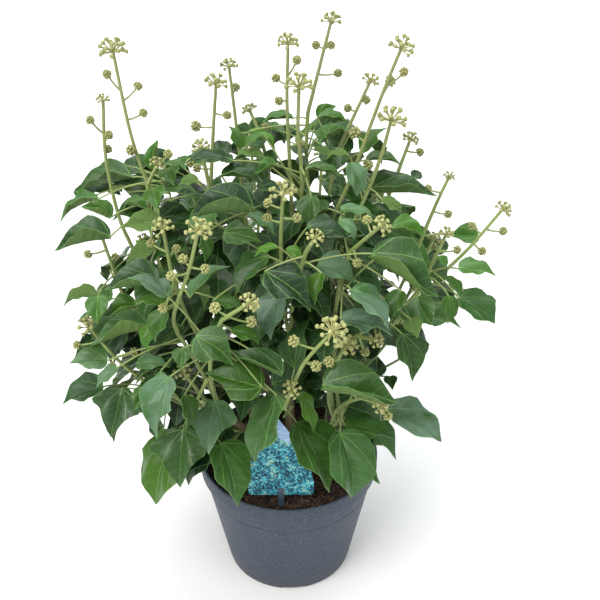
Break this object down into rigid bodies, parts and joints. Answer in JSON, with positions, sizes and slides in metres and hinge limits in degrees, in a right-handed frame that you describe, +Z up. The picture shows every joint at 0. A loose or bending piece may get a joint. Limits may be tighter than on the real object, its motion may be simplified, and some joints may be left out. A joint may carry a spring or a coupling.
{
  "type": "potted tree ivy",
  "caption": "Bushy flowering tree ivy with glossy leaves and round flower heads, rooted in the soil of a plain round nursery pot with a plant label.",
  "frame": {"origin": "centre of the pot's underside, on the surface that the pot stands on", "axes": "+Z up, -Y towards the side with the plant label, +X to the right seen from that side"},
  "size_m": [0.4396, 0.3979, 0.5934],
  "materials": {
    "pot_plastic": "slate grey moulded plastic, matte, lightly dusty",
    "peat": "dark potting peat with bark chips, rough",
    "label_card": "printed plastic card, light blue with a speckled pattern, satin",
    "leaf": "leathery evergreen leaf, dark green above with pale veins, satin gloss",
    "flower_spike": "fresh yellow-green buds and stalks, matte"
  },
  "bodies": {
    "root": {"pot": "pot_plastic", "soil": "peat", "plant_label": "label_card", "leafy_stem_left": "leaf", "leafy_stem_left_front": "leaf", "leafy_stem_front": "leaf", "leafy_stem_right_front": "leaf", "leafy_stem_right": "leaf", "leafy_stem_middle": "leaf", "leafy_stem_left_back": "leaf", "leafy_stem_right_back": "leaf", "flower_spike_01": "flower_spike", "flower_spike_02": "flower_spike", "flower_spike_03": "flower_spike", "flower_spike_04": "flower_spike", "flower_spike_05": "flower_spike", "flower_spike_06": "flower_spike", "flower_spike_07": "flower_spike", "flower_spike_08": "flower_spike", "flower_spike_09": "flower_spike", "flower_spike_10": "flower_spike", "flower_spike_11": "flower_spike", "flower_spike_12": "flower_spike", "flower_spike_13": "flower_spike", "flower_spike_14": "flower_spike", "flower_spike_15": "flower_spike", "flower_spike_16": "flower_spike", "flower_spike_17": "flower_spike", "flower_spike_18": "flower_spike", "flower_spike_19": "flower_spike", "flower_spike_20": "flower_spike", "flower_spike_21": "flower_spike", "flower_spike_22": "flower_spike", "flower_spike_23": "flower_spike", "flower_spike_24": "flower_spike", "flower_spike_25": "flower_spike", "flower_spike_26": "flower_spike", "flower_spike_27": "flower_spike", "flower_spike_28": "flower_spike", "flower_spike_29": "flower_spike", "flower_spike_30": "flower_spike", "flower_spike_31": "flower_spike", "flower_spike_32": "flower_spike", "flower_spike_33": "flower_spike", "flower_spike_34": "flower_spike", "flower_spike_35": "flower_spike", "flower_spike_36": "flower_spike", "flower_spike_37": "flower_spike", "flower_spike_38": "flower_spike", "flower_spike_39": "flower_spike"}
  },
  "joints": []
}
